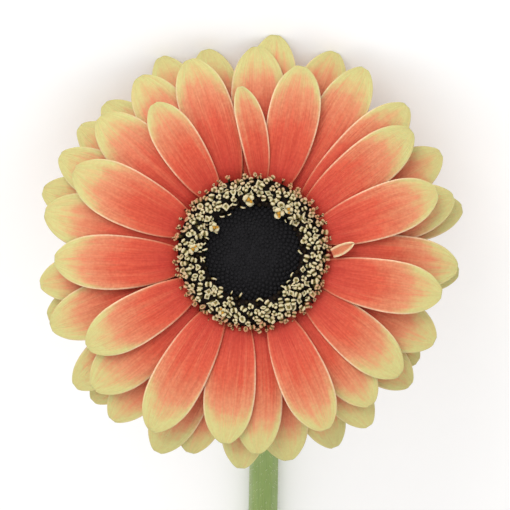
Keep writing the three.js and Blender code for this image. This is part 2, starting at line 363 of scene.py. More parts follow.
def petal_face():
    def build(tree, hue):
        place, across, along = on_blade(tree)
        broad = streaks(tree, place, 5.0, 0.9)
        fine = streaks(tree, place, 17.0, 5.0)
        # The coral reaches further up the middle of a petal, in ragged streaks and soft patches.
        tone = maths(tree, "POWER", maths(tree, "ABSOLUTE", across), 3.0)
        tone = maths(tree, "MULTIPLY_ADD", tone, 0.2, along)
        for wander, reach in ((broad, 0.22), (fine, 0.2), (mottle(tree, 420.0), 0.16)):
            tone = maths(tree, "MULTIPLY_ADD", maths(tree, "SUBTRACT", wander, 0.5), reach, tone)
        shade = graded(tree, tone, [(0.08, hue.coral), (0.5, hue.flesh), (0.76, hue.peach), (0.93, hue.tip)])
        # Dark and pale streaks, fainter towards the tip.
        body = maths(tree, "SUBTRACT", 1.0, between(tree, along, 0.55, 0.88, 0.72))
        dark = maths(tree, "MULTIPLY", between(tree, fine, 0.36, 0.66, 0.36), body)
        shade = mixed(tree, dark, shade, hue.flesh, "MULTIPLY")
        pale = maths(tree, "MULTIPLY", between(tree, broad, 0.5, 0.72, 0.2), between(tree, along, 0.1, 0.5))
        shade = mixed(tree, pale, shade, hue.peach)
        # The pale margin, clearest in the outer half.
        clear = maths(tree, "ADD", between(tree, along, 0.15, 0.6, 0.45), 0.4)
        margin = maths(tree, "SUBTRACT", 1.0, between(tree, attribute(tree, "rim"), 0.1, 0.55))
        edge = mixed(tree, between(tree, along, 0.1, 0.45), hue.peach, hue.rim)
        edge = mixed(tree, between(tree, along, 0.62, 1.0), edge, hue.tip)
        shade = mixed(tree, maths(tree, "MULTIPLY", margin, clear), shade, edge)
        # A dusty grain, finer than the streaks.
        grain = maths(tree, "MULTIPLY", between(tree, mottle(tree, 1500.0), 0.35, 0.65, 0.24), body)
        shade = mixed(tree, grain, shade, hue.flesh, "MULTIPLY")
        return shade, fine, 0.15 * MM

    return surface("petal face", build, 0.6, sheen=0.15, subsurface=0.1)


def petal_back():
    def build(tree, hue):
        place, _, along = on_blade(tree)
        fine = streaks(tree, place, 16.0, 1.2)
        tone = maths(tree, "ADD", along, maths(tree, "MULTIPLY_ADD", fine, 0.3, -0.15))
        shade = graded(tree, tone, [(0.1, hue.back), (0.5, hue.peach), (0.7, hue.back), (0.95, hue.tip)])
        shade = mixed(tree, between(tree, fine, 0.35, 0.7, 0.25), shade, hue.rim)
        return shade, fine, 0.15 * MM

    return surface("petal back", build, 0.65, sheen=0.1, subsurface=0.1)


def floret_lips():
    def build(tree, hue):
        depth = attribute(tree, "lip")
        kind = attribute(tree, "kind")
        patches = mottle(tree, 1400.0)
        lip = mixed(tree, between(tree, kind, 0.2, 0.6), hue.cream, hue.blush)
        lip = mixed(tree, between(tree, kind, 0.8, 0.9), lip, hue.gold)
        lip = mixed(tree, between(tree, patches, 0.42, 0.7, 0.35), lip, hue.olive)
        # Painted shade: the deeper a corner lies in or between the florets, the darker it is, from the olive
        # of the mouth down to near black; the lips keep their full colour only at their lit top.
        shaded_mouth = mixed(tree, between(tree, depth, 0.1, 0.42), hue.shade_and_dark_buds, hue.olive)
        shade = mixed(tree, between(tree, depth, 0.45, 0.95), shaded_mouth, lip)
        return shade, patches, 0.1 * MM

    return surface("floret lips", build, 0.6, subsurface=0.1, shine=0.12)


def closed_buds():
    def build(tree, hue):
        patches = mottle(tree, 900.0)
        deeper = [0.8 * part for part in hue.eye]
        return mixed(tree, between(tree, patches, 0.35, 0.7), hue.eye, deeper), patches, 0.03 * MM

    return surface("closed buds", build, 0.85, shine=0.12)


def bract_skin():
    def build(tree, hue):
        place, across, along = on_blade(tree)
        fine = streaks(tree, place, 9.0, 1.5)
        shade = graded(tree, along, [(0.0, hue.stem), (0.5, hue.leaf), (0.93, hue.leaf), (1.0, hue.blush)])
        shade = mixed(tree, between(tree, fine, 0.4, 0.7, 0.4), shade, hue.pith, "MULTIPLY")
        off_keel = between(tree, maths(tree, "ABSOLUTE", across), 0.0, 0.3, 0.3)
        shade = mixed(tree, maths(tree, "SUBTRACT", 0.3, off_keel), shade, hue.pith)
        return shade, fine, 0.2 * MM

    return surface("bract skin", build, 0.7, sheen=0.3)


def stem_skin():
    def build(tree, hue):
        place, _, along = on_blade(tree)
        fibres = streaks(tree, place, 14.0, 30.0)
        shade = graded(tree, along, [(0.0, hue.leaf), (0.08, hue.stem), (0.8, hue.stem), (1.0, hue.pith)])
        shade = mixed(tree, between(tree, fibres, 0.4, 0.65, 0.3), shade, hue.leaf)
        shade = mixed(tree, between(tree, mottle(tree, 60.0), 0.3, 0.8, 0.14), shade, hue.pith)
        return shade, fibres, 0.15 * MM

    return surface("stem skin", build, 0.55, sheen=0.2, subsurface=0.05)


def cut_flesh():
    def build(tree, hue):
        _, outwards, _ = on_blade(tree)
        pores = mottle(tree, 3000.0)
        # Painted shade: the middle of the flat cut is near black, standing for the stem's hollow.
        stops = [(0.0, hue.shade_and_dark_buds), (0.12, hue.pith), (0.75, hue.pith), (0.92, hue.stem)]
        shade = graded(tree, outwards, stops)
        shade = mixed(tree, between(tree, pores, 0.4, 0.6, 0.3), shade, hue.leaf)
        return shade, pores, 0.2 * MM

    return surface("cut flesh", build, 0.45, subsurface=0.1)


def down():
    def build(tree, hue):
        return mixed(tree, mottle(tree, 200.0), hue.pith, hue.floor), mottle(tree, 900.0), 0.02 * MM

    return surface("down", build, 0.5)


def table_top():
    def build(tree, hue):
        grain = mottle(tree, 160.0)
        shadow = (0.7, 0.7, 0.7)
        shade = mixed(tree, maths(tree, "MULTIPLY", grain, 0.04), hue.floor, shadow)
        return shade, grain, 0.05 * MM

    return surface("table top", build, 0.7)


# ---- Mesh helpers ----


def layer(bm, name, vector=False):
    """The piece's own attribute on its corners."""
    layers = bm.verts.layers.float_vector if vector else bm.verts.layers.float
    return layers.get(name) or layers.new(name)


def tube(bm, frames, sides, ring=None):
    """A closed tube through a list of ring matrices. ring(v) shapes the first unit circle."""
    start = bmesh.ops.create_circle(bm, cap_ends=True, radius=1, segments=sides)["verts"]
    if ring:
        for v in start:
            ring(v)
    bmesh.ops.transform(bm, matrix=frames[0], verts=start)
    faces = set(start[0].link_faces)
    edges = [e for e in bm.edges if e.verts[0] in start and e.verts[1] in start]
    rings = [start]
    for before, after in zip(frames, frames[1:]):
        made = bmesh.ops.extrude_edge_only(bm, edges=edges)["geom"]
        verts = [g for g in made if isinstance(g, bmesh.types.BMVert)]
        faces.update(g for g in made if isinstance(g, bmesh.types.BMFace))
        edges = [g for g in made if isinstance(g, bmesh.types.BMEdge) and all(v in verts for v in g.verts)]
        bmesh.ops.transform(bm, matrix=after @ before.inverted(), verts=verts)
        rings.append(verts)
    caps = bmesh.ops.holes_fill(bm, edges=edges, sides=0)["faces"]
    faces.update(caps)
    bmesh.ops.recalc_face_normals(bm, faces=list(faces))
    return rings, caps


def ring_frames(points, radii, side):
    """Ring matrices along a path. side is the direction that each ring's X keeps nearest to."""
    points = [Vector(p) for p in points]
    frames = []
    for i, point in enumerate(points):
        along = (points[min(i + 1, len(points) - 1)] - points[max(i - 1, 0)]).normalized()
        x = (Vector(side) - along * Vector(side).dot(along)).normalized()
        turn = Matrix((x, along.cross(x), along)).transposed().to_4x4()
        frames.append(Matrix.Translation(point) @ turn @ Matrix.Diagonal((radii[i], radii[i], 1, 1)))
    return frames


def blade_grid(bm, shape, across, along):
    """A blade from a grid. shape(v, u, t) gives a corner's place, for u from -1 to 1 and t from 0 to 1."""
    made = bmesh.ops.create_grid(bm, x_segments=across, y_segments=along, size=1)["verts"]
    for v in made:
        v.co = shape(v, v.co.x, 0.5 * (v.co.y + 1))


def with_links(verts):
    """Corners, and the edges and faces that they belong to."""
    edges = {e for v in verts for e in v.link_edges}
    faces = {f for v in verts for f in v.link_faces}
    return verts + list(edges) + list(faces)


def plant(bm, template, matrix, values=None):
    """A copy of a template's geometry, moved by a matrix, with values for its corners' attributes."""
    made = bmesh.ops.duplicate(bm, geom=template)["geom"]
    verts = [g for g in made if isinstance(g, bmesh.types.BMVert)]
    bmesh.ops.transform(bm, matrix=matrix, verts=verts)
    for attribute_layer, value in (values or {}).items():
        for v in verts:
            v[attribute_layer] = value


def z_to(direction):
    """The rotation that turns the Z axis to a direction."""
    return Vector((0, 0, 1)).rotation_difference(direction).to_matrix().to_4x4()


def upright(point, lean_to, amount, spin, scale):
    """Stands a template at a point: scaled, turned about its own axis and leant towards a direction."""
    turn = z_to((Vector((0, 0, 1)) + lean_to * amount).normalized())
    return Matrix.Translation(point) @ turn @ Matrix.Rotation(spin, 4, "Z") @ Matrix.Scale(scale, 4)


def on_clock(clock, radius, height=0.0):
    """A point in head space at an angle clockwise from twelve o'clock."""
    return Vector((radius * math.sin(clock), radius * math.cos(clock), height))


def finish(bm, name, materials, nodes, matrix=None):
    """The mesh becomes a piece that rides on the flower, in place of its CAD nodes, which are hidden."""
    if matrix is not None:
        bmesh.ops.transform(bm, matrix=matrix, verts=bm.verts)
    for face in bm.faces:
        face.smooth = True
    mesh = bpy.data.meshes.new(name)
    bm.to_mesh(mesh)
    bm.free()
    piece = bpy.data.objects.new(name, mesh)
    bpy.context.scene.collection.objects.link(piece)
    for material in materials:
        mesh.materials.append(material)
    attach(piece, "root")
    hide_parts(*nodes)
    return piece


def sheet(piece, thickness, back=0):
    """Gives an open blade its thickness, half to each side. back is the underside's material."""
    wall = piece.modifiers.new("thickness", "SOLIDIFY")
    wall.thickness = thickness
    wall.offset = 0
    wall.material_offset = back


# ---- Petals ----

BLADE_SHARES = (0, 0.06, 0.14, 0.3, 0.48, 0.64, 0.79, 0.9, 0.965, 1)  # where a petal is measured
WITHIN_ENDS = 0.004  # a section this share inside each end still cuts the solid
CLAW_DEPTH, TIP_DEPTH = 0.8 * MM, 0.4 * MM  # how much of each end is averaged to find it
LEAST_HALF_WIDTH = 0.2 * MM
TOUCHES_TABLE = 0.5 * MM
SHORT_PETAL, SHORT_PETAL_CORAL = 32 * MM, 0.025  # coral further up per millimetre that a petal is shorter
BLADE_APART = 3.7  # sets one petal's streaks apart from the next one's


class Blade:
    """A petal's shape, measured from its CAD solid in head space."""

    def __init__(self, node):
        corners, edges = merged(node)
        corners = in_head(corners)
        radius = np.hypot(corners[:, 0], corners[:, 1])
        claw = corners[radius < radius.min() + CLAW_DEPTH].mean(axis=0)
        tip = corners[radius > radius.max() - TIP_DEPTH].mean(axis=0)
        self.claw, self.chord = claw, tip - claw
        self.length = np.linalg.norm(self.chord)
        along = self.chord / self.length
        self.across = np.array([along[1], -along[0], 0])
        self.across /= np.linalg.norm(self.across)
        self.up = np.cross(self.across, along)
        rows = []
        for share in BLADE_SHARES:
            point = claw + self.chord * min(max(share, WITHIN_ENDS), 1 - WITHIN_ENDS)
            cut = section(corners, edges, point, along) - point
            side, height = cut @ self.across, cut @ self.up
            middle, half = 0.5 * (side.min() + side.max()), 0.5 * (side.max() - side.min())
            inner = height[np.abs(side - middle) < 0.6 * half]
            edge = 0.5 * (height[side.argmin()] + height[side.argmax()])
            rows.append((middle, half * half, 0.5 * (inner.min() + inner.max()), edge))
        self.row = smooth_curve(BLADE_SHARES, rows)
        self.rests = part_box(node)[0].z < TOUCHES_TABLE

    def at(self, u, t):
        """A place in head space and the half width there, for u across from -1 to 1 and t along."""
        middle, half_squared, height, edge = self.row(t)
        half = math.sqrt(max(half_squared, LEAST_HALF_WIDTH**2))
        point = self.claw + self.chord * t + self.across * (middle + u * half)
        return point + self.up * (height + (edge - height) * u * u), half


def petal_mesh(blade, rng, number):
    """A petal as an open blade. One that rests on the table neither leans, curls nor ruffles."""
    size = sizes()
    loose = 0.0 if blade.rests else 1.0
    lean = loose * size.lean * rng.uniform(-1, 1)
    curl = loose * rng.uniform(-0.5, 0.4) * MM
    ruffles = {-1: Wave(rng, 1.7), 1: Wave(rng, 1.7)}
    folds = rng.uniform(2.7, 3.3)
    slip = rng.uniform(-0.3, 0.3)
    # The coral reaches further up some petals than others, and nearly to the tip of a short one.
    kept = SHORT_PETAL_CORAL * max(0.0, SHORT_PETAL - blade.length) / MM + rng.uniform(-0.03, 0.06)
    bm = bmesh.new()
    place, rim = layer(bm, "blade", vector=True), layer(bm, "rim")

    def shape(v, x, y):
        # The grid is closest at the margins and at the tip.
        u = x * (1.25 - 0.25 * x * x)
        t = 1 - (1 - y) ** 1.35
        point, half = blade.at(u, t)
        grown = smoothstep(t, 0.05, 0.3) * (1 - 0.6 * smoothstep(t, 0.8, 1))
        lift = size.furrow * math.cos(math.pi * (folds * u + slip)) * (1 - u * u) * grown
        lift += loose * size.ruffle * u * u * ruffles[1 if u > 0 else -1](t) * smoothstep(t, 0.2, 0.6)
        lift += u * half * math.tan(lean) * smoothstep(t, 0.15, 0.7) + curl * t**4
        v[place] = Vector((u, t - kept * t, number * BLADE_APART))
        v[rim] = min(half * (1 - abs(u)), blade.length * (1 - t)) / MM
        return point + blade.up * lift

    blade_grid(bm, shape, across=15, along=38)
    return bm


def petal_piece(bm, name, node):
    """A blade becomes a petal, with its thickness, its face and its back."""
    piece = finish(bm, name, [petal_face(), petal_back()], [node], HEAD)
    sheet(piece, sizes().blade, back=1)


class GERBERA_OT_petals(bpy.types.Operator):
    """Model each ray floret as a thin furrowed petal with a pale margin"""

    bl_idname = "gerbera.petals"
    bl_label = "Petals"

    def execute(self, context):
        for number, node in enumerate(RAY_NODES, 1):
            bm = petal_mesh(Blade(node), np.random.default_rng(number), number)
            petal_piece(bm, f"petal_{number:02d}", node)
        return {"FINISHED"}


class GERBERA_OT_inner_ray(bpy.types.Operator):
    """Model the one short strap that stands between the eye and the petals"""

    bl_idname = "gerbera.inner_ray"
    bl_label = "Inner ray floret"

    def execute(self, context):
        blade = Blade("inner_ray_floret")
        bm = bmesh.new()
        place, rim = layer(bm, "blade", vector=True), layer(bm, "rim")
        # Wide where it leaves the florets, pointed at its tip and cupped along its middle.
        outline = smooth_curve((0, 0.3, 0.65, 0.9, 1), (1.08, 1.32, 1.08, 0.54, 0.12))
        cupping = 0.55 * MM

        def shape(v, u, t):
            middle, _ = blade.at(0, t)
            half = outline(t) * MM
            v[place] = Vector((u, 0.74 - 0.1 * (1 - u * u) * (1 - t), 0.5))
            v[rim] = half * (1 - abs(u)) / MM
            return middle + blade.across * (u * half) + blade.up * (cupping * u * u)

        blade_grid(bm, shape, across=8, along=18)
        petal_piece(bm, "inner_petal", "inner_ray_floret")
        return {"FINISHED"}


# ---- The eye ----
# Florets are built one unit wide, with the lip at the origin and the foot below it. The lip layer paints
# shade: it says how pale a corner is, from painted shade at 0, in the throat and at the foot, to the lip's
# full colour at 1.


def ball(bm, bands):
    """A ball of few faces, one unit wide. Gives its corners."""
    return bmesh.ops.create_uvsphere(bm, u_segments=6, v_segments=bands, radius=0.5)["verts"]


def curled(bm, lip, rng):
    """A thin floret that rises from its foot and curls over towards +Y."""
    half = 0.5 * rng.uniform(0.26, 0.34)
    reach, curl, steps = 1.25, 3.6, 7
    bend = reach / curl
    points, radii = [(0, 0, -1.2)], [half]
    for step in range(steps + 1):
        turn = curl * step / steps
        points.append((0, bend * (1 - math.cos(turn)), bend * math.sin(turn)))
        radii.append(half * (1 - 0.55 * (step / steps) ** 2))
    rings, _ = tube(bm, ring_frames(points, radii, (1, 0, 0)), sides=5)
    # Painted shade: the curl is dark at its foot and takes its full colour from partway up.
    for step, ring in enumerate(rings):
        for v in ring:
            v[lip] = smoothstep(step, 0.5, 4)


def open_tube(bm, lip, rings, sides, flatness=1.0):
    """A tube through rings of (radius, height, paleness). Gives its corners, ring by ring."""
    frames = [
        Matrix.Translation((0, 0, height)) @ Matrix.Diagonal((radius, radius * flatness, 1, 1))
        for radius, height, _ in rings
    ]
    made, _ = tube(bm, frames, sides)
    for ring, (_, _, pale) in zip(made, rings):
        for v in ring:
            v[lip] = pale
    return made


def lipped(bm, lip, rng):
    """An open floret, no two alike: two or three rounded lips round a mouth painted dark as shade, on a
    stalk.
    """
    lips = int(rng.choice((2, 3)))
    for number in range(lips):
        made = ball(bm, bands=5)
        width = rng.uniform(0.56, 0.74) * (1.7 - 0.25 * lips)
        size = (width, rng.uniform(0.4, 0.54), rng.uniform(0.5, 0.75), 1)
        lean = Matrix.Rotation(-rng.uniform(0.2, 0.7), 4, "X")
        place = Matrix.Translation((0, rng.uniform(0.23, 0.31), rng.uniform(-0.06, 0.08)))
        around = Matrix.Rotation(2 * math.pi * (number + rng.uniform(-0.12, 0.12)) / lips, 4, "Z")
        bmesh.ops.transform(bm, matrix=around @ place @ lean @ Matrix.Diagonal(size), verts=made)
        for v in made:
            # Painted shade: a lip darkens low down and towards the floret's middle, where the other lips
            # shade it.
            out_of_shade = smoothstep(math.hypot(v.co.x, v.co.y), 0.06, 0.32)
            v[lip] = smoothstep(v.co.z, -0.32, 0.2) * (0.35 + 0.65 * out_of_shade)
    open_tube(bm, lip, ((0.16, -1.6, 0), (0.3, -0.12, 0.3)), sides=5)


# From the foot of a cup to the depth of its mouth: radius, height and paleness, which paints shade dark at
# the foot and down in the mouth.
CUP_WALL = (
    (0.14, -1.6, 0),
    (0.28, -0.5, 0.3),
    (0.45, -0.12, 0.75),
    (0.5, 0.03, 1),
    (0.32, 0.06, 0.9),
    (0.12, -0.1, 0.45),
)


def cup(bm, lip, rng):
    """An open floret: a tube that flares into a lobed lip, no two alike, and turns back into its mouth."""
    lobes = int(rng.choice((2, 3, 3, 4, 5)))
    deep = rng.uniform(0.12, 0.3)
    across = rng.uniform(0.7, 1.0)
    tilt = rng.uniform(0.0, 0.3)
    sides = lobes * round(9 / lobes)
    uneven = rng.normal(0, 0.1, sides)
    for ring in open_tube(bm, lip, CUP_WALL, sides, across):
        flare = smoothstep(ring[0].co.z, -0.6, 0)
        for v in ring:
            bearing = math.atan2(v.co.y / across, v.co.x)
            wave = deep * math.cos(lobes * bearing) + uneven[round(bearing * sides / (2 * math.pi)) % sides]
            v.co.x *= 1 + flare * wave
            v.co.y *= 1 + flare * wave
            v.co.z += flare * (0.6 * wave + tilt * math.sin(bearing))


def grain(bm, lip, rng):
    """A grain of pollen."""
    for v in ball(bm, bands=4):
        v.co *= rng.uniform(0.8, 1.1)
        v[lip] = 1


def closed(bm, lip, _):
    """A dark floret that is still closed, and the same every time."""
    for v in ball(bm, bands=6):
        v.co.z *= 1.2
        v[lip] = 0.14


LIPPED_KINDS, CUP_KINDS = 12, 4
OPEN_KINDS = LIPPED_KINDS + CUP_KINDS
CURLED, GRAIN, BUD = OPEN_KINDS, OPEN_KINDS + 1, OPEN_KINDS + 2
POLLEN_KIND = 1  # the lipped floret that stands in full pollen


def floret_templates(bm, lip):
    """One floret of each kind to copy: the open kinds, then the curled one, the grain and the bud."""
    templates = []
    rng = np.random.default_rng(5)
    for build in [lipped] * LIPPED_KINDS + [cup] * CUP_KINDS + [curled, grain, closed]:
        before = set(bm.verts)
        build(bm, lip, rng)
        templates.append(with_links([v for v in bm.verts if v not in before]))
    return templates


def clear_templates(bm, templates):
    """Takes the templates away once their copies are planted."""
    verts = {g for template in templates for g in template if isinstance(g, bmesh.types.BMVert)}
    bmesh.ops.delete(bm, geom=list(verts), context="VERTS")


def packed(spacing, edge, first=0, offset=0.0):
    """The clock angle and radius of each floret of a packed disc, out to its edge, in the order they grow."""
    number = first
    while spacing * math.sqrt(number + offset) <= edge:
        yield number * GOLDEN_ANGLE % (2 * math.pi), spacing * math.sqrt(number + offset)
        number += 1


ROUND_STEPS = 64


def spun(bm, profile):
    """A round shell from a profile of radius and height. Gives its corners."""
    points = [bm.verts.new((radius, 0, height)) for radius, height in profile]
    edges = [bm.edges.new(pair) for pair in zip(points, points[1:])]
    before = set(bm.verts) - set(points)
    full_turn = {"angle": 2 * math.pi, "steps": ROUND_STEPS, "use_merge": True}
    bmesh.ops.spin(bm, geom=points + edges, cent=(0, 0, 0), axis=(0, 0, 1), **full_turn)
    made = [v for v in bm.verts if v not in before]
    bmesh.ops.remove_doubles(bm, verts=made, dist=FACETS_MEET)
    made = [v for v in made if v.is_valid]
    faces = list({f for v in made for f in v.link_faces})
    bmesh.ops.recalc_face_normals(bm, faces=faces)
    return made


FRINGE, CURLS = 46, 34  # small florets round the outside, curled ones round the inside

# Florets in full pollen: clock angle, distance from the axis in millimetres, width over an ordinary one.
POLLEN = (
    (356, 13.3, 1.6),
    (34, 11.9, 1.5),
    (303, 11.4, 1.35),
    (273, 14.9, 1.3),
    (40, 14.2, 1.2),
    (206, 16.8, 1.1),
)


class GERBERA_OT_open_florets(bpy.types.Operator):
    """Model the ring of open disc florets"""

    bl_idname = "gerbera.open_florets"
    bl_label = "Open florets"

    def execute(self, context):
        rng = np.random.default_rng(7)
        profile = radial_profile("open_florets")
        inside, outside = profile[:, 0].min(), profile[:, 0].max()
        crown = profile[:, 1].max()
        width = sizes().floret
        bm = bmesh.new()
        lip, kind = layer(bm, "lip"), layer(bm, "kind")
        templates = floret_templates(bm, lip)

        def stand(shape, clock, radius, height, lean, scale, tint, spin=0.0):
            """Stands a floret on the ring. A positive lean is away from the axis."""
            where, outwards = on_clock(clock, radius, height), on_clock(clock, 1)
            matrix = upright(where, outwards, lean, spin - clock, scale * width)
            plant(bm, templates[shape], matrix, {kind: tint})

        spacing = 0.48 * width
        first = int((inside / spacing) ** 2) + 1
        ragged = Wave(rng, 4)
        for clock, radius in packed(spacing, outside + 0.1 * MM, first):
            share = (radius - inside) / (outside - inside)
            if share < 0.13 + 0.12 * ragged(clock / (2 * math.pi)) + rng.normal(0, 0.05):
                stand(BUD, clock, radius, crown - 1.7 * MM, 0, rng.uniform(0.5, 0.6), 0.0)
                continue
            clock += rng.normal(0, 0.02)
            radius += rng.normal(0, 0.2 * MM)
            rise = crown - 0.5 * MM - 1.3 * MM * (1.6 * share - 0.7) ** 2 + rng.normal(0, 0.4 * MM)
            rise -= 0.8 * MM * smoothstep(share, 0.75, 1)
            shape = rng.integers(OPEN_KINDS)
            tint = 0.42 * smoothstep(share, 0.5, 1.0) + rng.uniform(0, 0.25)
            scale = rng.uniform(0.76, 1.04) * (1 - 0.2 * smoothstep(share, 0.8, 1))
            lean = 0.9 * (share - 0.35) + rng.normal(0, 0.45)
            stand(shape, clock, radius, rise, lean, scale, tint, rng.uniform(-math.pi, math.pi))
        for clock in np.radians(rng.uniform(0, 360, CURLS)):
            radius = inside + rng.uniform(-0.9, 1.2) * MM
            height = crown - rng.uniform(0.7, 1.4) * MM
            stand(CURLED, clock, radius, height, -0.4, rng.uniform(0.6, 1.0), 0.0, rng.uniform(0, 6))
        for clock, radius, scale in POLLEN:
            clock = math.radians(clock)
            stand(POLLEN_KIND, clock, radius * MM, crown, -0.45, scale, 0.1, math.pi)
            stand(GRAIN, clock, radius * MM, crown + 0.2 * MM, -0.4, 0.42 * scale, 1.0)
            stand(GRAIN, clock + 0.05, (radius - 0.7) * MM, crown + 0.3 * MM, -0.4, 0.3 * scale, 1.0)
        for clock in 2 * math.pi * (np.arange(FRINGE) + rng.uniform(-0.4, 0.4, FRINGE)) / FRINGE:
            radius = outside + rng.uniform(-0.5, 0.7) * MM
            height = 0.5 * crown + rng.uniform(-0.4, 0.4) * MM
            shape = rng.integers(OPEN_KINDS + 1)
            scale, tint = rng.uniform(0.36, 0.6, 2)
            stand(shape, clock, radius, height, 0.9, scale, tint, rng.uniform(-1, 1))
        clear_templates(bm, templates)
        # The bed that the florets stand in, painted dark as the shade between them, paler underneath.
        bed = [(inside, 0), (inside, crown - 2.4 * MM), (0.5 * (inside + outside), crown - 1.7 * MM)]
        bed += [(outside - 1.2 * MM, 0.5 * crown), (outside - 0.8 * MM, 0.42 * crown)]
        bed += [(outside - 1.0 * MM, 0.36 * crown), (inside + 2 * MM, 0), (inside, 0)]
        for v in spun(bm, bed):
            underside = v.co.z < 0.38 * crown and math.hypot(v.co.x, v.co.y) > inside + 1.0 * MM
            v[lip] = 0.6 if underside else 0.0
        finish(bm, "open_florets_ring", [floret_lips()], ["open_florets"], HEAD)
        return {"FINISHED"}


class GERBERA_OT_closed_florets(bpy.types.Operator):
    """Model the dark centre of packed closed florets"""

    bl_idname = "gerbera.closed_florets"
    bl_label = "Closed florets"

    def execute(self, context):
        rng = np.random.default_rng(11)
        profile = radial_profile("closed_florets")
        outside, crown = profile[:, 0].max(), profile[:, 1].max()
        width = sizes().bud
        bm = bmesh.new()
        bud = ball(bm, bands=6)
        for v in bud:
            v.co.z *= 1.2
            pinch = 1 - 0.35 * smoothstep(v.co.z, 0.1, 0.7)
            v.co.x *= pinch
            v.co.y *= pinch
        template = with_links(bud)
        for clock, radius in packed(0.53 * width, outside + 0.5 * MM, offset=0.5):
            share = radius / outside
            rise = crown - 0.7 * MM - 1.0 * MM * share**2 + rng.normal(0, 0.05 * MM)
            scale = width * (0.8 + 0.3 * share) * rng.uniform(0.92, 1.08)
            where, outwards = on_clock(clock, radius, rise), on_clock(clock, 1)
            plant(bm, template, upright(where, outwards, -0.35 * share, 0, scale))
        clear_templates(bm, [template])
        dome = [(0, crown - 0.55 * MM), (0.5 * outside, crown - 0.8 * MM), (outside, crown - 1.6 * MM)]
        dome += [(outside, 0), (0, 0)]
        spun(bm, dome)
        finish(bm, "closed_florets_eye", [closed_buds()], ["closed_florets"], HEAD)
        return {"FINISHED"}


# ---- Behind the head ----


class GERBERA_OT_receptacle(bpy.types.Operator):
    """Model the fleshy base that carries the florets"""

    bl_idname = "gerbera.receptacle"
    bl_label = "Receptacle"

    def execute(self, context):
        profile = radial_profile("receptacle")
        bottom, top = profile[:, 1].min(), profile[:, 1].max()
        widest = profile[profile[:, 0].argmax()]
        foot = profile[profile[:, 1] < bottom + 0.1 * MM][:, 0].max()
        upper = profile[profile[:, 1] > top - 0.1 * MM][:, 0].max()
        waist = (0.72 * widest[0], 0.5 * (bottom + widest[1]))
        side = smooth_curve((0, 0.5, 1), ((foot, bottom), waist, widest))
        points = [(0, bottom)] + [tuple(side(share)) for share in np.linspace(0, 1, 9)]
        points += [(upper, widest[1] + 0.8 * MM), (upper, top), (0, top)]
        bm = bmesh.new()
        place = layer(bm, "blade", vector=True)
        for v in spun(bm, points):
            v[place] = Vector((2 * math.atan2(v.co.x, v.co.y), 0.1, 9))
        finish(bm, "receptacle_flesh", [stem_skin()], ["receptacle"], HEAD)
        return {"FINISHED"}


BRACT_THICKNESS = 0.4 * MM


def bract_row(name, node, count, start_share, widen, seed):
    """A row of overlapping pointed bracts along the cup that the CAD node gives, from start_share up it."""
    profile = radial_profile(node)
    radii = np.unique(np.round(profile[:, 0], 4))
    heights = [profile[np.abs(profile[:, 0] - r) < 0.1 * MM][:, 1].mean() for r in radii]
    path = smooth_curve(np.linspace(0, 1, len(radii)), list(zip(radii, heights)))
    rng = np.random.default_rng(seed)
    bm = bmesh.new()
    place = layer(bm, "blade", vector=True)
    for i in range(count):
        clock = 2 * math.pi * (i + rng.uniform(-0.12, 0.12)) / count
        width = sizes().bract * widen * rng.uniform(0.88, 1.1)
        reach = 1 + rng.uniform(-0.06, 0.08)
        lift = 0.22 * MM * (i % 2) + rng.uniform(0, 0.1) * MM
        stray = rng.uniform(-0.06, 0.06)
        flare = rng.uniform(-0.3, 0.2) * MM

        def shape(v, u, t):
            radius, height = path(start_share + (reach - start_share) * t)
            belly = 0.72 + 0.28 * math.sin(math.pi * min(1, 1.4 * t))
            half = 0.5 * width * (1 - t**2.4) * belly + 0.08 * MM
            bearing = clock + stray * t + u * half / radius
            keel = -0.35 * MM * (1 - abs(u)) * (1 - 0.5 * t)
            v[place] = Vector((u, t, seed + i * 2.3))
            return on_clock(bearing, radius, height - lift + keel + flare * t * t)

        blade_grid(bm, shape, across=6, along=14)
    sheet(finish(bm, name, [bract_skin()], [node], HEAD), BRACT_THICKNESS)


class GERBERA_OT_bracts(bpy.types.Operator):
    """Model the two rows of green bracts behind the petals"""

    bl_idname = "gerbera.bracts"
    bl_label = "Bracts"

    def execute(self, context):
        bract_row("inner_bract_row", "inner_bracts", 26, 0.0, 1.0, 31)
        bract_row("outer_bract_row", "outer_bracts", 20, 0.3, 0.85, 57)
        return {"FINISHED"}


# ---- Stem ----

SECTIONS = 40  # how many times the CAD stem is measured
RIM_DEPTH = 0.4 * MM
STATIONS, SIDES, RIBS = 110, 54, 9
NECK_SWELL, SWELL_LENGTH = 0.14, 9 * MM  # the stem widens under the head
HAIRS_IN_BAND = 52
HAIR_BAND = 9 * MM
CUT_RINGS = 4  # the rings at the stem's end that lean to the cut
CUT, DOWN = 1, 2  # the stem's materials after its skin


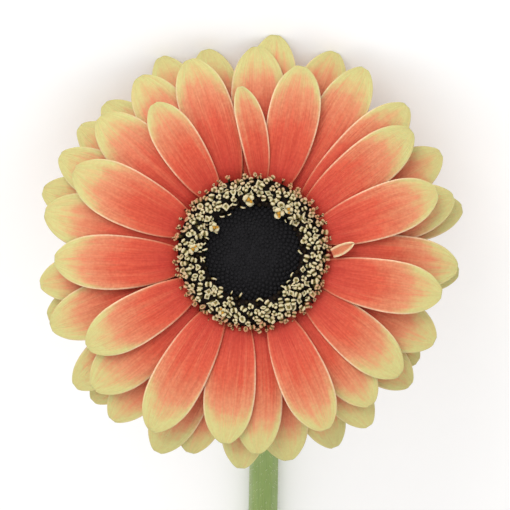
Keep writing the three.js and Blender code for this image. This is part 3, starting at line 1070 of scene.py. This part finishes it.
class StemPath:
    """The stem's middle line and width, measured from its CAD solid."""

    def __init__(self):
        corners, edges = merged("stem")
        face = np.array(HEAD.to_3x3().col[2])
        slant = math.acos(-face[1])
        below_top = (corners @ face).max() - corners @ face
        rim = corners[below_top < RIM_DEPTH]
        start = rim.mean(axis=0)
        neck_radius = np.linalg.norm(rim - start, axis=1).mean()
        # The neck bends evenly from the head down to the table, and the rest of the stem lies straight.
        bend = (start[2] - neck_radius) / (1 - math.cos(slant))
        foot = start[1] + bend * math.sin(slant)
        neck = bend * slant
        self.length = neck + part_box("stem")[1].y - foot
        lengths, middles, radii = [0.0], [start], [neck_radius]
        cut_room = 2.6 * neck_radius
        for run in np.linspace(0, self.length - cut_room, SECTIONS, endpoint=False)[1:]:
            pitch = slant * max(0.0, 1 - run / neck)
            height = neck_radius + bend * (1 - math.cos(pitch))
            guess = np.array([0, foot - bend * math.sin(pitch) + max(0.0, run - neck), height])
            along = np.array([0, math.cos(pitch), -math.sin(pitch)])
            cut = section(corners, edges, guess, along)
            cut = cut[np.abs(cut[:, 2] - guess[2]) < 3 * neck_radius]
            lengths.append(run)
            middles.append(0.5 * (cut.min(axis=0) + cut.max(axis=0)))
            radii.append(0.5 * (cut[:, 0].max() - cut[:, 0].min()))
        drift = (middles[-1] - middles[-2]) / (lengths[-1] - lengths[-2])
        lengths.append(self.length)
        middles.append(middles[-1] + drift * (self.length - lengths[-2]))
        radii.append(radii[-1])
        self.middle = smooth_curve(lengths, middles)
        self.radius = smooth_curve(lengths, radii)


class GERBERA_OT_stem(bpy.types.Operator):
    """Model the ribbed, downy stem and its slanted cut"""

    bl_idname = "gerbera.stem"
    bl_label = "Stem"

    def execute(self, context):
        path = StemPath()
        rng = np.random.default_rng(23)
        size = sizes()
        bm = bmesh.new()
        place = layer(bm, "blade", vector=True)
        runs = [path.length * i / STATIONS for i in range(STATIONS + 1)]
        points = [path.middle(run) for run in runs]
        swell = Wave(rng, 5)
        radii = []
        for run in runs:
            near_head = 1 + NECK_SWELL * (1 - smoothstep(run, 0, SWELL_LENGTH))
            radii.append((path.radius(run) - size.rib) * near_head * (1 + 0.012 * swell(run / path.length)))
        frames = ring_frames(points, radii, (1, 0, 0))

        def ribbed(v):
            bearing = math.atan2(v.co.y, v.co.x)
            wave = 0.6 * math.cos(RIBS * bearing) + 0.25 * math.cos(4 * bearing + 1)
            v.co *= 1 + size.rib / radii[0] * wave

        rings, caps = tube(bm, frames, SIDES, ribbed)
        for run, point, ring in zip(runs, points, rings):
            for v in ring:
                off = v.co - Vector(point)
                bearing = math.atan2(off.x, off.z)
                v[place] = Vector((1.5 * math.sin(bearing), run / path.length, 1.5 * math.cos(bearing)))
        slanted_cut(bm, rings, caps, place)
        # The lying stem touches the table, and no lower.
        for v in bm.verts:
            v.co.z = max(v.co.z, 0.0)
        hairs(bm, path, rng)
        finish(bm, "stem_stalk", [stem_skin(), cut_flesh(), down()], ["stem"])
        return {"FINISHED"}


def hairs(bm, path, rng):
    """Fine hairs that stand off the stem, in bands of a few dozen, closest by the head."""
    size = sizes()
    before = set(bm.verts)
    for _ in range(HAIRS_IN_BAND):
        made = bmesh.ops.create_cone(bm, segments=3, radius1=0.035 * MM, radius2=0.006 * MM, depth=1)["verts"]
        side = Vector((1, 0, 0))
        side.rotate(Quaternion((0, 0, 1), rng.uniform(0, 2 * math.pi)))
        up = (side + Vector((0, 0, rng.uniform(-0.5, 0.3))) + Vector(rng.normal(0, 0.15, 3))).normalized()
        root = side * (path.radius(0) - size.rib) + Vector((0, 0, rng.uniform(-0.5, 0.5) * HAIR_BAND))
        reach = size.hair * rng.uniform(0.4, 1.1)
        stand = Matrix.Diagonal((1, 1, reach, 1)) @ Matrix.Translation((0, 0, 0.5))
        bmesh.ops.transform(bm, matrix=Matrix.Translation(root) @ z_to(up) @ stand, verts=made)
    hair = [v for v in bm.verts if v not in before]
    for v in hair:
        for face in v.link_faces:
            face.material_index = DOWN
    template = with_links(hair)
    bands = size.hairs // HAIRS_IN_BAND
    for band in range(bands):
        run = HAIR_BAND + (path.length - 3 * HAIR_BAND) * (band / bands) ** 1.5
        middle = Vector(path.middle(run))
        along = (Vector(path.middle(run + MM)) - middle).normalized()
        girth = path.radius(run) / path.radius(0)
        spin = Matrix.Rotation(rng.uniform(0, 2 * math.pi), 4, "Z") @ Matrix.Diagonal((girth, girth, 1, 1))
        plant(bm, template, Matrix.Translation(middle) @ z_to(along) @ spin)
    # The table leaves no room for a hair below the stem.
    low = {v for v in bm.verts if v.co.z < 0}
    for _ in range(3):  # far enough to reach the whole of a hair from any corner of it
        low = {other for v in low for e in v.link_edges for other in e.verts}
    bmesh.ops.delete(bm, geom=list(low | set(hair)), context="VERTS")


def slanted_cut(bm, rings, caps, place):
    """Leans the stem's last rings to a florist's slanted cut and gives the cut face its own flesh."""
    end = rings[-1]
    middle = sum((v.co for v in end), Vector()) / len(end)
    half = max(v.co.z for v in end) - middle.z
    for step, ring in enumerate(rings[-CUT_RINGS:], 1):
        for v in ring:
            v.co.y -= step / CUT_RINGS * (v.co.z - middle.z + half)
    rind = bmesh.ops.inset_individual(bm, faces=caps, thickness=0.3 * MM, use_even_offset=True)["faces"]
    flesh = bmesh.ops.inset_individual(bm, faces=caps, thickness=2.6 * MM, use_even_offset=True)["faces"]
    for face in rind + flesh + caps:
        face.material_index = CUT
    for faces, outwards in ((rind, 0.8), (caps, 0.0)):
        for face in faces:
            for v in face.verts:
                v[place] = Vector((outwards, 1, 0))


# ---- Stage ----

VIEW_WIDTH = 127.5 * MM  # what the camera takes in at the petals
VIEW_DISTANCE = 1.0
PETAL_HEIGHT = 3 * MM  # in head space, as high as most of the petals
SENSOR = 36.0
ROOM_LIGHT, FRONT_WATTS, OVERHEAD_WATTS = 0.95, 5.8, 2.0
TABLE_HALF = 2.5


class GERBERA_OT_stage(bpy.types.Operator):
    """Lay the table, set the lights and the camera"""

    bl_idname = "gerbera.stage"
    bl_label = "Stage"

    def execute(self, context):
        scene = context.scene
        bm = bmesh.new()
        bmesh.ops.create_grid(bm, x_segments=1, y_segments=1, size=TABLE_HALF)
        mesh = bpy.data.meshes.new("table")
        bm.to_mesh(mesh)
        bm.free()
        table = bpy.data.objects.new("table", mesh)
        mesh.materials.append(table_top())
        scene.collection.objects.link(table)

        world = bpy.data.worlds.new("studio")
        world.use_nodes = True
        room = world.node_tree.nodes["Background"].inputs
        room["Color"].default_value = (1, 1, 1, 1)
        room["Strength"].default_value = ROOM_LIGHT
        scene.world = world
        scene.view_settings.view_transform = "Standard"

        middle = HEAD @ Vector((0, 0, PETAL_HEIGHT))
        front = middle + HEAD.to_3x3() @ Vector((-0.35, 0.5, 0.9))
        self.soft_light("front softbox", front, middle, 0.7, FRONT_WATTS)
        self.soft_light("overhead softbox", Vector((0.2, 0.3, 1.3)), Vector((0, 0, 0)), 1.1, OVERHEAD_WATTS)

        camera = bpy.data.cameras.new("camera")
        camera.sensor_width = SENSOR
        camera.lens = SENSOR * VIEW_DISTANCE / VIEW_WIDTH
        camera.clip_start = 0.01
        eye = bpy.data.objects.new("camera", camera)
        eye.matrix_world = HEAD @ Matrix.Translation((0.7 * MM, -0.65 * MM, VIEW_DISTANCE + PETAL_HEIGHT))
        scene.collection.objects.link(eye)
        scene.camera = eye
        return {"FINISHED"}

    def soft_light(self, name, place, target, width, power):
        """A round softbox that looks from its place to its target."""
        light = bpy.data.lights.new(name, "AREA")
        light.shape = "DISK"
        light.size = width
        light.energy = power
        lamp = bpy.data.objects.new(name, light)
        lamp.location = place
        lamp.rotation_euler = (target - place).to_track_quat("-Z", "Y").to_euler()
        bpy.context.scene.collection.objects.link(lamp)


# ---- The add-on ----

STEPS = (
    GERBERA_OT_petals,
    GERBERA_OT_inner_ray,
    GERBERA_OT_open_florets,
    GERBERA_OT_closed_florets,
    GERBERA_OT_receptacle,
    GERBERA_OT_bracts,
    GERBERA_OT_stem,
    GERBERA_OT_stage,
)


class GERBERA_PT_panel(bpy.types.Panel):
    """Lists the steps that model the flower, and its sizes and colours"""

    bl_idname = "GERBERA_PT_panel"
    bl_label = "Cut Gerbera"
    bl_space_type = "VIEW_3D"
    bl_region_type = "UI"
    bl_category = "Gerbera"

    def draw(self, context):
        for step in STEPS:
            self.layout.operator(step.bl_idname)
        for group in (sizes(), colours()):
            box = self.layout.box()
            for name in group.__annotations__:
                box.prop(group, name)


CLASSES = (GerberaSizes, GerberaColours, *STEPS, GERBERA_PT_panel)


def register():
    for cls in CLASSES:
        bpy.utils.register_class(cls)
    bpy.types.Scene.gerbera_sizes = PointerProperty(type=GerberaSizes)
    bpy.types.Scene.gerbera_colours = PointerProperty(type=GerberaColours)


def unregister():
    del bpy.types.Scene.gerbera_colours
    del bpy.types.Scene.gerbera_sizes
    for cls in reversed(CLASSES):
        bpy.utils.unregister_class(cls)


def main():
    register()
    bpy.ops.gerbera.petals()
    bpy.ops.gerbera.inner_ray()
    bpy.ops.gerbera.open_florets()
    bpy.ops.gerbera.closed_florets()
    bpy.ops.gerbera.receptacle()
    bpy.ops.gerbera.bracts()
    bpy.ops.gerbera.stem()
    bpy.ops.gerbera.stage()


if __name__ == "__main__":
    main()
